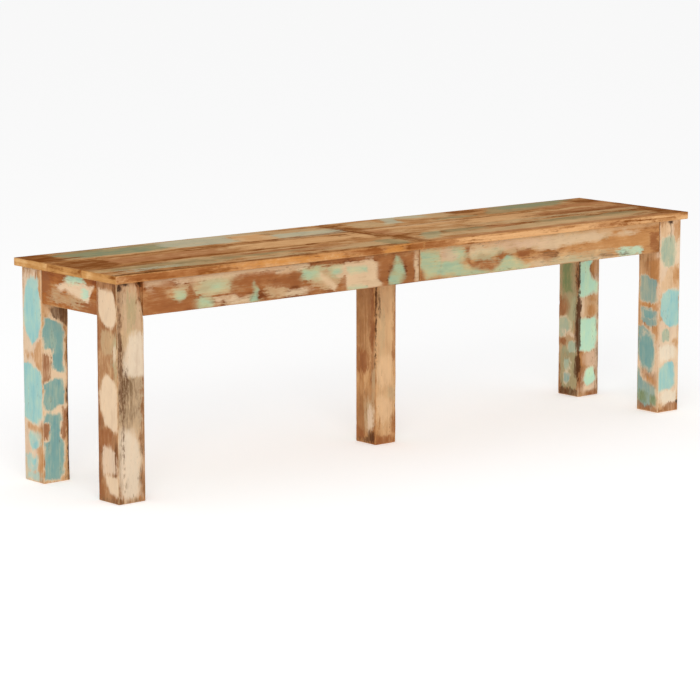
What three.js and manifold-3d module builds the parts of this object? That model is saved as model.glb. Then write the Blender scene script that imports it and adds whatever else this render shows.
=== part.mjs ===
// A backless hall bench in reclaimed timber. It is built as two half frames that meet at mid-length:
// each half has two corner legs, an end apron, its lengths of the front and rear aprons, a cross rail at
// the joint, and three seat planks. One centre leg stands under the joint and bolts both halves together.
//
// Millimetres. +X runs along the bench to the right, +Y to the back, +Z up.
// The origin is on the floor, under the middle of the seat.

import * as THREE from 'three';
import { mergeVertices } from 'three/addons/utils/BufferGeometryUtils.js';
import Module from 'manifold-3d';

const wasm = await Module();
wasm.setup();

// Driving dimensions

const LENGTH = 1600;
const DEPTH = 355;
const HEIGHT = 460;

const SEAT_THICKNESS = 17;
const PLANK_ROWS = ['front', 'middle', 'rear'];

const END_OVERHANG = 10;            // seat beyond the legs, at each end
const SIDE_OVERHANG = 13;           // seat beyond the legs, front and rear
const LEG_X = 66;                   // corner leg section
const LEG_Y = 68;

const APRON_HEIGHT = 71;
const APRON_THICKNESS = 20;
const APRON_INSET = 2;              // apron face behind the leg face
const RAIL_THICKNESS = 20;          // each cross rail at the joint

const CENTRE_LEG_X = 58;
const CENTRE_LEG_Y = 67;
const CENTRE_LEG_OFFSET = 17;       // the leg's centreline, to the right of the joint

const BATTEN_X = 370;               // each half's cross batten, out from the joint
const BATTEN_WIDTH = 45;
const BATTEN_THICKNESS = 20;

const BLOCK_DEPTH = 26;             // corner block, leg corner to its diagonal face
const BLOCK_HEIGHT = 40;

const TENON = { length: 25, height: 45, thickness: 10 };
const STUB = { length: 8, height: 50, thickness: 10 };     // cross rail into a long apron

const BOLT_RADIUS = 4;
const CENTRE_BOLT_Y = 17;           // each centre bolt, to either side of the bench's centreline
const BOLT_HEAD = 5.5;
const BOLT_SHOWING = 4;             // thread beyond each nut
const HANGER_IN_LEG = 36;
const NUT = { acrossFlats: 13, height: 6.5 };
const WASHER = { outer: 9, thickness: 1.6 };
const SCREW = { length: 30, shank: 2.2, head: 4.2, headHeight: 3.2, tip: 6, sink: 0.5 };

const ARRIS = 1.5;                  // chamfer on the long edges of every board
const GAP = 0.3;                    // between pieces that touch
const REACH = 1;                    // how far a cutting tool runs past the face it opens
const ROUND_SIDES = 16;

// Derived levels and places

const SEAT_UNDERSIDE = HEIGHT - SEAT_THICKNESS;
const FRAME_TOP = SEAT_UNDERSIDE - GAP;
const APRON_UNDERSIDE = FRAME_TOP - APRON_HEIGHT;
const APRON_MIDDLE = FRAME_TOP - APRON_HEIGHT / 2;

const LEG_CENTRE_X = LENGTH / 2 - END_OVERHANG - LEG_X / 2;
const LEG_CENTRE_Y = DEPTH / 2 - SIDE_OVERHANG - LEG_Y / 2;
const LEG_INNER_X = LEG_CENTRE_X - LEG_X / 2;
const LEG_INNER_Y = LEG_CENTRE_Y - LEG_Y / 2;
const END_APRON_X = LENGTH / 2 - END_OVERHANG - APRON_INSET - APRON_THICKNESS / 2;
const LONG_APRON_Y = DEPTH / 2 - SIDE_OVERHANG - APRON_INSET - APRON_THICKNESS / 2;
const APRON_BACK_X = END_APRON_X - APRON_THICKNESS / 2;
const APRON_BACK_Y = LONG_APRON_Y - APRON_THICKNESS / 2;

const CENTRE_LEG_RIGHT = CENTRE_LEG_OFFSET + CENTRE_LEG_X / 2;
const RAIL_CENTRE = GAP / 2 + RAIL_THICKNESS / 2;
const RAIL_FACE = GAP / 2 + RAIL_THICKNESS;
const PLANK_WIDTH = (DEPTH - 2 * GAP) / PLANK_ROWS.length;

// Materials

const finish = (color, roughness, metalness = 0) =>
  new THREE.MeshStandardMaterial({ color, roughness, metalness });

const WOOD = {
  seat: finish(0xa07a52, 0.5),
  apron: finish(0xb07a4c, 0.55),
  leg: finish(0xb89068, 0.6),
  hidden: finish(0xa98257, 0.75),
};
const ZINC = finish(0xb4b6b8, 0.35, 0.9);

// Solids: every shape is a closed geometry, and cuts and joins go through manifold-3d

function toSolid(geometry) {
  const bare = geometry.clone();
  bare.deleteAttribute('normal');
  bare.deleteAttribute('uv');
  const merged = mergeVertices(bare, 1e-4);
  return new wasm.Manifold(new wasm.Mesh({
    numProp: 3,
    vertProperties: Float32Array.from(merged.attributes.position.array),
    triVerts: Uint32Array.from(merged.index.array),
  }));
}

function toGeometry(solid) {
  const { numProp, vertProperties, triVerts } = solid.getMesh();
  const positions = new Float32Array(triVerts.length * 3);
  triVerts.forEach((vertex, i) => {
    for (let k = 0; k < 3; k += 1) positions[3 * i + k] = vertProperties[vertex * numProp + k];
  });
  const geometry = new THREE.BufferGeometry();
  geometry.setAttribute('position', new THREE.BufferAttribute(positions, 3));
  geometry.computeVertexNormals();
  return geometry;
}

function shape(base, { add = [], cut = [] }) {
  let solid = toSolid(base);
  for (const piece of add) solid = solid.add(toSolid(piece));
  for (const tool of cut) solid = solid.subtract(toSolid(tool));
  return toGeometry(solid);
}

// A box from its centre and its full sizes.
function box(x, y, z, sizeX, sizeY, sizeZ) {
  return new THREE.BoxGeometry(sizeX, sizeY, sizeZ).translate(x, y, z);
}

// A board centred on the origin, its long edges chamfered, its length along the grain axis.
function board(sizeX, sizeY, sizeZ, grain) {
  const section = { x: [sizeZ, sizeY], y: [sizeX, sizeZ], z: [sizeX, sizeY] }[grain];
  const length = { x: sizeX, y: sizeY, z: sizeZ }[grain];
  const [u, v] = section.map((size) => size / 2);
  const outline = new THREE.Shape();
  outline.moveTo(u - ARRIS, -v);
  outline.lineTo(u, -v + ARRIS);
  outline.lineTo(u, v - ARRIS);
  outline.lineTo(u - ARRIS, v);
  outline.lineTo(-u + ARRIS, v);
  outline.lineTo(-u, v - ARRIS);
  outline.lineTo(-u, -v + ARRIS);
  outline.lineTo(-u + ARRIS, -v);
  const geometry = new THREE.ExtrudeGeometry(outline, { depth: length, bevelEnabled: false });
  geometry.translate(0, 0, -length / 2);
  if (grain === 'x') geometry.rotateY(Math.PI / 2);
  if (grain === 'y') geometry.rotateX(Math.PI / 2);
  return geometry;
}

// A turned piece about Z, from [radius, z] points that start and end on the axis.
function turned(profile) {
  const points = profile.map(([radius, z]) => new THREE.Vector2(radius, z));
  return new THREE.LatheGeometry(points, ROUND_SIDES).rotateX(Math.PI / 2);
}

function rod(radius, from, to) {
  return turned([[0, from], [radius, from], [radius, to], [0, to]]);
}

// Corner leg, standing on its own origin. inX and inY point to the bench's middle.

function cornerLeg(inX, inY) {
  const wide = TENON.thickness + 2 * GAP;
  const high = TENON.height + 2 * GAP;
  const deep = TENON.length + GAP + REACH;
  const longMortise = box(
    inX * (LEG_X / 2 + REACH - deep / 2), -inY * (LONG_APRON_Y - LEG_CENTRE_Y), APRON_MIDDLE,
    deep, wide, high,
  );
  const endMortise = box(
    -inX * (END_APRON_X - LEG_CENTRE_X), inY * (LEG_Y / 2 + REACH - deep / 2), APRON_MIDDLE,
    wide, deep, high,
  );
  const bore = rod(BOLT_RADIUS + GAP, -HANGER_IN_LEG - GAP, 4 * REACH)
    .rotateY(Math.PI / 2)
    .rotateZ(Math.atan2(inY, inX))
    .translate(inX * LEG_X / 2, inY * LEG_Y / 2, FRAME_TOP - BLOCK_HEIGHT / 2);
  const post = board(LEG_X, LEG_Y, FRAME_TOP, 'z').translate(0, 0, FRAME_TOP / 2);
  return shape(post, { cut: [longMortise, endMortise, bore] });
}

// Aprons, each centred on its own length. side is -1 for the left half and 1 for the right.

const LONG_APRON_LENGTH = LEG_INNER_X - 1.5 * GAP;

function longApron(side, inY) {
  const outerEnd = side * LONG_APRON_LENGTH / 2;
  const tenonLength = TENON.length + REACH;
  const tenon = box(
    outerEnd + side * (tenonLength / 2 - REACH), 0, 0,
    tenonLength, TENON.thickness, TENON.height,
  );
  const housing = box(
    side * (RAIL_THICKNESS / 2) - outerEnd, inY * (APRON_THICKNESS / 2 - STUB.length / 2), 0,
    STUB.thickness + 2 * GAP, STUB.length + 2 * REACH, STUB.height + 2 * GAP,
  );
  return shape(board(LONG_APRON_LENGTH, APRON_THICKNESS, APRON_HEIGHT, 'x'), {
    add: [tenon],
    cut: [housing],
  });
}

function endApron() {
  const length = 2 * (LEG_INNER_Y - GAP);
  const tenonLength = TENON.length + REACH;
  const tenons = [-1, 1].map((end) => box(
    0, end * (length / 2 - REACH + tenonLength / 2), 0,
    TENON.thickness, tenonLength, TENON.height,
  ));
  return shape(board(APRON_THICKNESS, length, APRON_HEIGHT, 'y'), { add: tenons });
}

// Cross rail at the joint: it runs between the long aprons, and two bolts pass through it.

function crossRail() {
  const length = 2 * (APRON_BACK_Y - GAP);
  const stubLength = STUB.length - GAP + REACH;
  const stubs = [-1, 1].map((end) => box(
    0, end * (length / 2 - REACH + stubLength / 2), 0,
    STUB.thickness, stubLength, STUB.height,
  ));
  const holes = [-1, 1].map((place) => rod(BOLT_RADIUS + GAP, -RAIL_THICKNESS, RAIL_THICKNESS)
    .rotateY(Math.PI / 2)
    .translate(0, place * CENTRE_BOLT_Y, 0));
  return shape(board(RAIL_THICKNESS, length, APRON_HEIGHT, 'y'), { add: stubs, cut: holes });
}

// Centre leg: a shoulder carries both cross rails, and a tongue beside them takes the bolts.

function centreLeg() {
  const shoulder = APRON_UNDERSIDE - GAP;
  const rebateRight = RAIL_FACE + GAP - CENTRE_LEG_OFFSET;
  const rebateWidth = rebateRight + CENTRE_LEG_X / 2 + REACH;
  const rebateHeight = FRAME_TOP - shoulder + REACH;
  const rebate = box(
    rebateRight - rebateWidth / 2, 0, shoulder + rebateHeight / 2,
    rebateWidth, CENTRE_LEG_Y + 2 * REACH, rebateHeight,
  );
  const holes = [-1, 1].map((place) => rod(BOLT_RADIUS + GAP, -REACH, CENTRE_LEG_X / 2 + REACH)
    .rotateY(Math.PI / 2)
    .translate(0, place * CENTRE_BOLT_Y, APRON_MIDDLE));
  const post = board(CENTRE_LEG_X, CENTRE_LEG_Y, FRAME_TOP, 'z').translate(0, 0, FRAME_TOP / 2);
  return shape(post, { cut: [rebate, ...holes] });
}

// Corner block: it fits the leg's inner corner and both aprons, and its far face is diagonal.

function cornerBlock(inX, inY) {
  const legX = LEG_INNER_X - GAP;
  const legY = LEG_INNER_Y - GAP;
  const backX = APRON_BACK_X - GAP;
  const backY = APRON_BACK_Y - GAP;
  const diagonal = legX + legY - BLOCK_DEPTH * Math.SQRT2;
  const outline = new THREE.Shape([
    [legX, backY],
    [diagonal - backY, backY],
    [backX, diagonal - backX],
    [backX, legY],
    [legX, legY],
  ].map(([x, y]) => new THREE.Vector2(-inX * x, -inY * y)));
  const prism = new THREE.ExtrudeGeometry(outline, { depth: BLOCK_HEIGHT, bevelEnabled: false });
  prism.translate(0, 0, FRAME_TOP - BLOCK_HEIGHT);
  const hole = rod(BOLT_RADIUS + GAP, -2 * BLOCK_DEPTH, 2 * BLOCK_DEPTH)
    .rotateY(Math.PI / 2)
    .rotateZ(Math.atan2(inY, inX))
    .translate(-inX * LEG_INNER_X, -inY * LEG_INNER_Y, FRAME_TOP - BLOCK_HEIGHT / 2);
  return shape(prism, { cut: [hole] });
}

// Fasteners. Each is made along +Z and turned into place.

// Wood screw, head down at the origin and point up. grow makes the matching hole.
function woodScrew(grow = 0) {
  return turned([
    [0, -grow],
    [SCREW.head + grow, -grow],
    [SCREW.shank + grow, SCREW.headHeight],
    [SCREW.shank + grow, SCREW.length - SCREW.tip],
    [0, SCREW.length + grow],
  ]);
}

function drivenScrew() {
  const recess = [0, 1].map((turn) => box(0, 0, 0, 5, 1, 3).rotateZ(turn * Math.PI / 2));
  return shape(woodScrew(), { cut: recess });
}

function hexagon(acrossFlats) {
  const radius = acrossFlats / Math.sqrt(3);
  return new THREE.Shape(Array.from({ length: 6 }, (_, i) => {
    const angle = (i * Math.PI) / 3;
    return new THREE.Vector2(radius * Math.cos(angle), radius * Math.sin(angle));
  }));
}

// Hex bolt: its head lies beyond the origin, and its shank along +Z.
function hexBolt(length) {
  const head = new THREE.ExtrudeGeometry(hexagon(NUT.acrossFlats), {
    depth: BOLT_HEAD,
    bevelEnabled: false,
  }).translate(0, 0, -BOLT_HEAD);
  const shank = turned([
    [0, -BOLT_HEAD / 2],
    [BOLT_RADIUS, -BOLT_HEAD / 2],
    [BOLT_RADIUS, length - 1],
    [BOLT_RADIUS - 1, length],
    [0, length],
  ]);
  return shape(head, { add: [shank] });
}

// Hanger bolt: its pointed end lies inside the leg, at negative Z.
function hangerBolt(outside) {
  return turned([
    [0, -HANGER_IN_LEG],
    [BOLT_RADIUS, 8 - HANGER_IN_LEG],
    [BOLT_RADIUS, outside - 1],
    [BOLT_RADIUS - 1, outside],
    [0, outside],
  ]);
}

function pierced(outline, height) {
  const hole = new THREE.Path();
  hole.absarc(0, 0, BOLT_RADIUS + GAP, 0, 2 * Math.PI, true);
  outline.holes.push(hole);
  return new THREE.ExtrudeGeometry(outline, {
    depth: height,
    bevelEnabled: false,
    curveSegments: ROUND_SIDES,
  });
}

function washer() {
  const outline = new THREE.Shape();
  outline.absarc(0, 0, WASHER.outer, 0, 2 * Math.PI, false);
  return pierced(outline, WASHER.thickness);
}

function nut() {
  return pierced(hexagon(NUT.acrossFlats), NUT.height);
}

// Assembly

const bench = new THREE.Group();

function place(parent, name, geometry, material, x = 0, y = 0, z = 0) {
  const mesh = new THREE.Mesh(geometry, material);
  mesh.name = name;
  mesh.position.set(x, y, z);
  parent.add(mesh);
  return mesh;
}

// Turns a fastener made along +Z to point along (x, y) in the floor plane.
function aim(mesh, x, y) {
  const direction = new THREE.Vector3(x, y, 0).normalize();
  mesh.quaternion.setFromUnitVectors(new THREE.Vector3(0, 0, 1), direction);
}

function addCorner(half, side, label, depthSide, row) {
  const inX = -side;
  const inY = -depthSide;
  const name = (piece) => `${piece}_${row}_${label}`;
  place(half, name('leg'), cornerLeg(inX, inY), WOOD.leg, side * LEG_CENTRE_X, depthSide * LEG_CENTRE_Y);
  place(half, name('corner_block'), cornerBlock(inX, inY), WOOD.hidden);

  const washerStart = GAP * Math.SQRT2 + BLOCK_DEPTH + GAP;
  const nutStart = washerStart + WASHER.thickness + GAP;
  const stack = [
    ['hanger_bolt', hangerBolt(nutStart + NUT.height + BOLT_SHOWING), 0],
    ['corner_washer', washer(), washerStart],
    ['corner_nut', nut(), nutStart],
  ];
  for (const [piece, geometry, along] of stack) {
    const reach = along / Math.SQRT2;
    const mesh = place(
      half, name(piece), geometry, ZINC,
      side * LEG_INNER_X + inX * reach,
      depthSide * LEG_INNER_Y + inY * reach,
      FRAME_TOP - BLOCK_HEIGHT / 2,
    );
    aim(mesh, inX, inY);
  }
}

function addHalf(side, label) {
  const half = new THREE.Group();
  bench.add(half);

  const screwBase = FRAME_TOP - BATTEN_THICKNESS + SCREW.sink;
  const plankLength = LENGTH / 2 - GAP / 2;
  const plankCentre = side * (LENGTH / 2 - plankLength / 2);
  const battenLength = 2 * (APRON_BACK_Y - GAP);
  const pilots = [];

  PLANK_ROWS.forEach((row, i) => {
    const y = (i - 1) * (PLANK_WIDTH + GAP);
    const pilot = woodScrew(GAP).translate(
      side * BATTEN_X - plankCentre, 0, screwBase - (HEIGHT - SEAT_THICKNESS / 2),
    );
    const plank = shape(board(plankLength, PLANK_WIDTH, SEAT_THICKNESS, 'x'), { cut: [pilot] });
    place(
      half, `seat_plank_${row}_${label}`, plank, WOOD.seat,
      plankCentre, y, HEIGHT - SEAT_THICKNESS / 2,
    );
    place(half, `batten_screw_${row}_${label}`, drivenScrew(), ZINC, side * BATTEN_X, y, screwBase);
    pilots.push(woodScrew(GAP).translate(0, y, SCREW.sink - BATTEN_THICKNESS / 2));
    pilots.push(rod(SCREW.head + GAP, -BATTEN_THICKNESS / 2 - REACH, SCREW.sink - BATTEN_THICKNESS / 2)
      .translate(0, y, 0));
  });

  const batten = shape(board(BATTEN_WIDTH, battenLength, BATTEN_THICKNESS, 'y'), { cut: pilots });
  place(
    half, `seat_batten_${label}`, batten, WOOD.hidden,
    side * BATTEN_X, 0, FRAME_TOP - BATTEN_THICKNESS / 2,
  );

  const apronCentre = side * (GAP / 2 + LONG_APRON_LENGTH / 2);
  for (const [depthSide, row] of [[-1, 'front'], [1, 'rear']]) {
    place(
      half, `apron_${row}_${label}`, longApron(side, -depthSide), WOOD.apron,
      apronCentre, depthSide * LONG_APRON_Y, APRON_MIDDLE,
    );
    addCorner(half, side, label, depthSide, row);
  }
  place(half, `apron_end_${label}`, endApron(), WOOD.apron, side * END_APRON_X, 0, APRON_MIDDLE);

  place(half, `cross_rail_${label}`, crossRail(), WOOD.hidden, side * RAIL_CENTRE, 0, APRON_MIDDLE);
}

function addCentreLeg() {
  place(bench, 'leg_centre', centreLeg(), WOOD.leg, CENTRE_LEG_OFFSET);
  const headFace = CENTRE_LEG_RIGHT + GAP + WASHER.thickness + GAP;
  const nutWasher = -RAIL_FACE - GAP;
  const nutFace = nutWasher - WASHER.thickness - GAP;
  const boltLength = headFace - nutFace + NUT.height + BOLT_SHOWING;
  for (const [depthSide, row] of [[-1, 'front'], [1, 'rear']]) {
    const y = depthSide * CENTRE_BOLT_Y;
    const stack = [
      ['centre_bolt', hexBolt(boltLength), headFace],
      ['centre_head_washer', washer(), CENTRE_LEG_RIGHT + GAP + WASHER.thickness],
      ['centre_nut_washer', washer(), nutWasher],
      ['centre_nut', nut(), nutFace],
    ];
    for (const [piece, geometry, x] of stack) {
      aim(place(bench, `${piece}_${row}`, geometry, ZINC, x, y, APRON_MIDDLE), -1, 0);
    }
  }
}

addHalf(-1, 'left');
addHalf(1, 'right');
addCentreLeg();

export default bench;
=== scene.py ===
"""Looks for a backless hall bench in reclaimed, paint-worn timber.

Every board is rebuilt as a fine mesh inside its CAD board's box: rounded and rubbed arrises, slightly uneven
faces, chips and waney corners, real tenons and mortises. The paint is laid out face by face as short lists of
patches in millimetres, and each board's material turns them into worn paint over grained wood.
"""

import itertools
import math
from collections import namedtuple

import bmesh
import bpy
import numpy as np
from mathutils import Matrix, Vector


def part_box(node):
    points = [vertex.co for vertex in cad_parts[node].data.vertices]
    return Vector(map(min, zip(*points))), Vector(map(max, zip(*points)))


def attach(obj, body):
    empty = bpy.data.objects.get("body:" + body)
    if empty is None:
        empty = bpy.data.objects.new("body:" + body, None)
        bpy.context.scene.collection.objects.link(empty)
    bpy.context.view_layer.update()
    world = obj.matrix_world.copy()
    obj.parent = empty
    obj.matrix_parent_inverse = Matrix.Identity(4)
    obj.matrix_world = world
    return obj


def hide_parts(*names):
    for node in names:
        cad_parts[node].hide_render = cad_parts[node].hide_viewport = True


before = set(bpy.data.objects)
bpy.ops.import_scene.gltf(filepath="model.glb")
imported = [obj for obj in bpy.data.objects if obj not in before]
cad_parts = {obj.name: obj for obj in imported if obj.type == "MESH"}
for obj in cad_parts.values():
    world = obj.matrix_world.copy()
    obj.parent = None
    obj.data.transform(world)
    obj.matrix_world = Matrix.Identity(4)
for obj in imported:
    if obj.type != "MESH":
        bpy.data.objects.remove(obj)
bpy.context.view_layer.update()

MM = 0.001

# ---------------------------------------------------------------------------------------------- camera

CAMERA_PLACE = (-4.2391, -4.9892, 1.3155)
CAMERA_YAW = 0.6977           # radians, from +Y towards +X
CAMERA_PITCH = 0.1681         # radians, below the horizon
SENSOR = 36.0
LENS = 157.5


def add_camera():
    data = bpy.data.cameras.new("camera")
    data.sensor_width = SENSOR
    data.lens = LENS
    camera = bpy.data.objects.new("camera", data)
    camera.location = CAMERA_PLACE
    camera.rotation_euler = (math.pi / 2 - CAMERA_PITCH, 0, -CAMERA_YAW)
    bpy.context.scene.collection.objects.link(camera)
    bpy.context.scene.camera = camera


# ------------------------------------------------------------------------------------ wood and paint


def linear(red, green, blue):
    """An 8-bit display colour as the linear colour that a shader takes."""
    def one(value):
        value /= 255
        return value / 12.92 if value <= 0.04045 else ((value + 0.055) / 1.055) ** 2.4
    return (one(red), one(green), one(blue), 1.0)


VEIL = 0.006                  # the share of white that the surface's faint sheen adds to its colour


def pigment(colour, times=(1.0, 1.0, 1.0)):
    """The shader colour that looks like this display colour once the surface's sheen is added."""
    return tuple(min(1.0, max(0.0, (c - VEIL) * t)) for c, t in zip(linear(*colour), times)) + (1.0,)


# Wood: the dark, middle and light tones of a board.
WOODS = {
    "honey": ((154, 96, 48), (196, 142, 90), (222, 176, 124)),
    "orange": ((134, 68, 20), (168, 100, 44), (196, 142, 86)),
    "redbrown": ((112, 58, 24), (160, 102, 58), (190, 142, 94)),
    "tan": ((164, 114, 70), (208, 162, 116), (230, 192, 148)),
    "brown": ((118, 72, 34), (172, 121, 78), (206, 163, 118)),
    "seat": ((136, 78, 36), (198, 142, 92), (228, 184, 134)),
    "raw": ((150, 112, 74), (196, 158, 114), (218, 186, 146)),
}

# Paint: its colour and how solid it is. Then in mm how ragged its edge is, how far the grain pulls the edge
# about and how softly it fades. Then how much of it is worn off the raised grain, whether the primer shows
# around it, and how little of its patches it really covers.
Paint = namedtuple("Paint", "colour solid ragged streak soft worn primed thin", defaults=(False, 0.0))
PAINTS = {
    "teal": ((156, 202, 195), 0.96, 1.6, 1.4, 3.4, 0.16, True),
    # deepteal is the teal paint darkened as painted shade, for faces in shade under and inside the bench.
    "deepteal": ((124, 166, 160), 0.96, 1.8, 1.8, 2.8, 0.18, True),
    # greyteal is the teal paint, darker and greyer as painted shade, for faces inside the bench.
    "greyteal": ((138, 167, 157), 0.93, 2.2, 1.8, 3.2, 0.24, True),
    "paleteal": ((176, 204, 190), 0.85, 3.0, 3.0, 5.0, 0.30),
    # brightmint is a bright mint paint made lighter still as painted light, to offset the shade under the
    # seat on the rear right leg.
    "brightmint": ((194, 237, 209), 0.95, 1.8, 1.6, 3.2, 0.14, True),
    "palemint": ((194, 217, 186), 0.92, 2.4, 3.0, 3.6, 0.26),
    "mint": ((172, 190, 152), 0.86, 1.5, 1.5, 7.5, 0.34),
    "sage": ((168, 182, 154), 0.88, 2.4, 2.4, 3.6, 0.34, True),
    "moss": ((122, 136, 86), 0.86, 3.0, 4.0, 5.0, 0.35),
    "cream": ((234, 206, 172), 0.94, 1.6, 1.4, 4.0, 0.22),
    "bone": ((216, 184, 146), 0.92, 1.6, 1.4, 4.5, 0.24),
    "blush": ((232, 205, 175), 0.88, 3.0, 4.0, 5.0, 0.30),
    "peach": ((224, 184, 140), 0.88, 3.0, 4.0, 5.0, 0.35),
    "buff": ((214, 173, 128), 0.86, 3.0, 4.0, 6.0, 0.28),
    "band": ((218, 190, 154), 0.84, 2.4, 4.0, 6.0, 0.34),
    "white": ((238, 222, 196), 0.94, 3.0, 4.0, 5.0, 0.26),
    "tanwash": ((200, 168, 126), 0.82, 3.0, 6.0, 5.0, 0.50),
    "greige": ((204, 173, 138), 0.84, 3.0, 6.0, 5.0, 0.50),
    "chalk": ((222, 202, 176), 0.92, 2.5, 2.5, 8.0, 0.24),
    "tawny": ((164, 112, 68), 0.80, 3.0, 3.0, 7.0, 0.35),
    "drab": ((178, 152, 120), 0.84, 3.0, 5.0, 5.0, 0.40),
    "greenwash": ((186, 180, 140), 0.76, 3.0, 7.0, 6.0, 0.50),
    "pink": ((214, 176, 144), 0.75, 3.0, 6.0, 5.0, 0.45),
    "brown": ((158, 100, 56), 0.85, 3.0, 4.0, 3.0, 0.40),
    "redbrown": ((152, 92, 50), 0.88, 3.0, 5.0, 3.5, 0.35),
    "darkbrown": ((92, 54, 26), 0.90, 2.5, 4.0, 2.5, 0.35),
    "orange": ((196, 138, 82), 0.84, 3.0, 4.0, 4.0, 0.40),
    "grime": ((122, 93, 62), 0.85, 3.0, 4.0, 5.0, 1.00, False, 0.10),
    "knot": ((58, 34, 22), 0.95, 0.8, 0.6, 1.4, 0.10),
    "olive": ((170, 152, 112), 0.84, 3.0, 9.0, 4.5, 0.50),
    "bluegrey": ((204, 198, 168), 0.92, 3.0, 9.0, 4.5, 0.36),
    "paleband": ((218, 184, 138), 0.84, 3.0, 9.0, 4.5, 0.50),
    "rosy": ((190, 130, 88), 0.78, 3.0, 9.0, 4.5, 0.50),
    "sunlit": ((236, 184, 130), 0.84, 3.0, 9.0, 4.5, 0.45),
    "tobacco": ((142, 84, 42), 0.88, 3.0, 9.0, 4.5, 0.40),
    "lichen": ((158, 160, 124), 0.85, 3.0, 9.0, 4.5, 0.42),
    "amber": ((206, 140, 74), 0.84, 2.0, 5.0, 3.0, 0.45),
}
PRIMER = (228, 204, 170)
HALO = 7.0                    # mm that the primer may show beyond the paint on it
CLEAR = -60.0                 # a paint field's value far outside every patch


class Graph:
    """A node tree, with one short call for each kind of node."""

    def __init__(self, tree):
        self.tree = tree

    def node(self, kind, values=None, **settings):
        made = self.tree.nodes.new(kind)
        for key, value in settings.items():
            setattr(made, key, value)
        for socket, value in (values or {}).items():
            self.feed(made.inputs[socket], value)
        return made

    def feed(self, socket, value):
        if isinstance(value, bpy.types.NodeSocket):
            self.tree.links.new(value, socket)
        else:
            socket.default_value = value

    def math(self, operation, *values):
        return self.node("ShaderNodeMath", dict(enumerate(values)), operation=operation).outputs[0]

    def vector(self, operation, *values):
        return self.node("ShaderNodeVectorMath", dict(enumerate(values)), operation=operation)

    def sum(self, *terms):
        """Adds up (value, times) pairs and plain values."""
        total = 0.0
        for term in terms:
            value, times = term if isinstance(term, tuple) else (term, 1.0)
            total = self.math("MULTIPLY_ADD", value, times, total)
        return total

    def product(self, *factors):
        total = factors[0]
        for factor in factors[1:]:
            total = self.math("MULTIPLY", total, factor)
        return total

    def place(self):
        return self.node("ShaderNodeTexCoord").outputs["Object"]

    def attribute(self, name):
        return self.node("ShaderNodeAttribute", attribute_name=name).outputs["Fac"]

    def noise(self, place, scale, detail=3.0, roughness=0.5, distortion=0.0):
        """Noise about 0.5. scale is bumps per metre along x, y and z."""
        stretched = self.vector("MULTIPLY", place, scale).outputs[0]
        values = {"Vector": stretched, "Scale": 1.0, "Detail": detail}
        values.update({"Roughness": roughness, "Distortion": distortion})
        return self.node("ShaderNodeTexNoise", values).outputs[0]

    def spread(self, noise):
        """Noise stretched to run from 0 to 1."""
        return self.remap(noise, 0.30, 0.70)

    def remap(self, value, low, high, to_low=0.0, to_high=1.0):
        values = {"Value": value, "From Min": low, "From Max": high}
        values.update({"To Min": to_low, "To Max": to_high})
        return self.node("ShaderNodeMapRange", values, interpolation_type="SMOOTHSTEP").outputs[0]

    def mix(self, factor, a, b):
        made = self.node("ShaderNodeMix", data_type="RGBA", clamp_factor=True)
        for index, value in ((0, factor), (6, a), (7, b)):
            self.feed(made.inputs[index], value)
        return made.outputs[2]

    def tones(self, value, dark, middle, light, low, centre, high):
        """A colour that goes from dark through middle to light as value goes from low to high."""
        lower = self.mix(self.remap(value, low, centre), dark, middle)
        return self.mix(self.remap(value, centre, high), lower, light)

    def use(self, group, *values):
        return self.node("ShaderNodeGroup", dict(enumerate(values)), node_tree=group).outputs


FLOAT, COLOUR, VECTOR = "NodeSocketFloat", "NodeSocketColor", "NodeSocketVector"


def make_group(name, inputs, outputs, build):
    """A node group. inputs and outputs are {label: socket type}; build(graph, *inputs) gives the outputs."""
    tree = bpy.data.node_groups.new(name, "ShaderNodeTree")
    for direction, sockets in (("INPUT", inputs), ("OUTPUT", outputs)):
        for label, kind in sockets.items():
            tree.interface.new_socket(label, in_out=direction, socket_type=kind)
    g = Graph(tree)
    results = build(g, *list(g.node("NodeGroupInput").outputs)[:len(inputs)])
    leave = g.node("NodeGroupOutput")
    for socket, result in zip(leave.inputs, results):
        g.feed(socket, result)
    return tree


def start_material(name):
    material = bpy.data.materials.new(name)
    material.use_nodes = True
    material.node_tree.nodes.clear()
    return material, Graph(material.node_tree)


def finish_material(material, g, colour, roughness, height, relief, **extra):
    bump = g.node("ShaderNodeBump", {"Height": height, "Distance": relief, "Strength": 1.0})
    values = {"Base Color": colour, "Roughness": roughness, "Normal": bump.outputs[0]}
    values.update(extra)
    shader = g.node("ShaderNodeBsdfPrincipled", values)
    g.node("ShaderNodeOutputMaterial", {"Surface": shader.outputs[0]})
    return material


def along_grain(grain, along, across):
    """Three values for x, y and z: one for the axis that the grain runs along and one for the others."""
    return tuple(along if axis == grain else across for axis in "xyz")


RING_SPACING = 0.006          # metres between the year rings
RING_SWAY = 26.0              # radians that they wander
PORES = 0.22                  # how much the open pores darken the wood
WOOD_INPUTS = {"Shift": VECTOR, "Pith": VECTOR, "Dark": COLOUR, "Middle": COLOUR, "Light": COLOUR}
WOOD_OUTPUTS = {"Colour": COLOUR, "Lines": FLOAT, "Fibres": FLOAT, "Blotch": FLOAT, "Ragged": FLOAT}


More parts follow.
